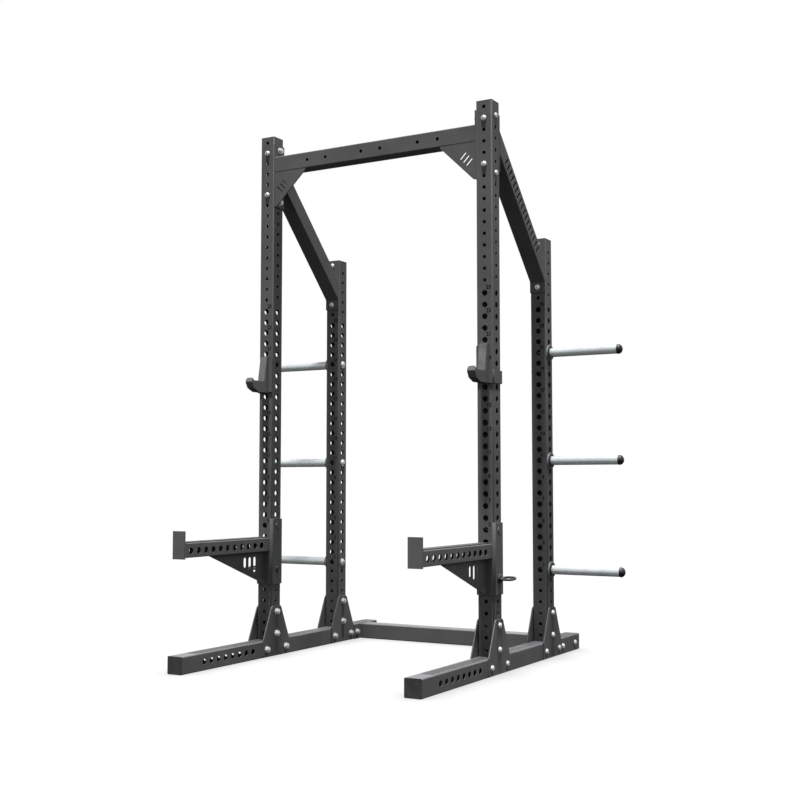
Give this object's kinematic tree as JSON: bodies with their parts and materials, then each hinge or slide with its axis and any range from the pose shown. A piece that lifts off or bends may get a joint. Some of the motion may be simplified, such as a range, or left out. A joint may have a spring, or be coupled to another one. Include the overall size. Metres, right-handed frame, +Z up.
{
  "type": "half power rack",
  "caption": "Free-standing half rack of square steel tube with swing-out bar cups, pinned safety arms and plate storage pegs.",
  "frame": {"origin": "on the floor, halfway between the two rails and halfway along them", "axes": "+Z up, -Y towards the lifter at the open front, +X to the right seen from behind the lifter facing the rack"},
  "size_m": [1.9506, 1.607, 2.4708],
  "materials": {
    "powder_coat": "matte powder coat",
    "fastener_zinc": "bright zinc",
    "peg_zinc": "satin zinc",
    "pin_steel": "oiled steel",
    "black_rubber": "moulded",
    "black_plastic": "moulded",
    "liner_plastic": "UHMW sheet"
  },
  "bodies": {
    "frame": {"rail_left": "powder_coat", "rail_right": "powder_coat", "rail_end_caps": "black_plastic", "upright_front_left": "powder_coat", "upright_front_right": "powder_coat", "upright_rear_left": "powder_coat", "upright_rear_right": "powder_coat", "upright_end_caps": "black_plastic", "foot_plate_front_left_outer": "powder_coat", "foot_plate_front_left_inner": "powder_coat", "foot_plate_front_right_outer": "powder_coat", "foot_plate_front_right_inner": "powder_coat", "foot_plate_rear_left_outer": "powder_coat", "foot_plate_rear_left_inner": "powder_coat", "foot_plate_rear_right_outer": "powder_coat", "foot_plate_rear_right_inner": "powder_coat", "foot_bolts": "fastener_zinc", "rear_crossmember": "powder_coat", "rear_crossmember_bolts": "fastener_zinc", "top_crossmember": "powder_coat", "top_crossmember_bolts": "fastener_zinc", "side_beam_left": "powder_coat", "side_beam_right": "powder_coat", "side_beam_bolts": "fastener_zinc", "peg_left_low": "peg_zinc", "peg_left_middle": "peg_zinc", "peg_left_high": "peg_zinc", "peg_right_low": "peg_zinc", "peg_right_middle": "peg_zinc", "peg_right_high": "peg_zinc", "peg_washers": "black_rubber", "peg_caps_left": "black_rubber", "peg_caps_right": "black_rubber", "peg_bolts": "fastener_zinc", "arm_left": "powder_coat", "arm_liner_left": "liner_plastic", "arm_bracket_left": "powder_coat", "arm_hinge_pin_left": "powder_coat", "arm_right": "powder_coat", "arm_liner_right": "liner_plastic", "arm_bracket_right": "powder_coat", "arm_hinge_pin_right": "powder_coat"},
    "cup_left": {"cup_left": "powder_coat", "cup_liner_left": "liner_plastic", "cup_pin_left": "pin_steel"},
    "cup_right": {"cup_right": "powder_coat", "cup_liner_right": "liner_plastic", "cup_pin_right": "pin_steel"},
    "lock_pin_left": {"lock_pin_left": "powder_coat"},
    "lock_pin_right": {"lock_pin_right": "powder_coat"}
  },
  "joints": [
    {"name": "cup_left_swing", "type": "hinge", "parent": "frame", "child": "cup_left", "pos_m": [-0.5762, -0.127, 1.3704], "axis": [0, 1, 0], "range_deg": [0, 120]},
    {"name": "cup_right_swing", "type": "hinge", "parent": "frame", "child": "cup_right", "pos_m": [0.5762, -0.127, 1.3704], "axis": [0, -1, 0], "range_deg": [0, 120]},
    {"name": "lock_pin_left_pull", "type": "slide", "parent": "frame", "child": "lock_pin_left", "axis": [-1, 0, 0], "range_m": [0, 0.1]},
    {"name": "lock_pin_right_pull", "type": "slide", "parent": "frame", "child": "lock_pin_right", "axis": [1, 0, 0], "range_m": [0, 0.1]}
  ]
}
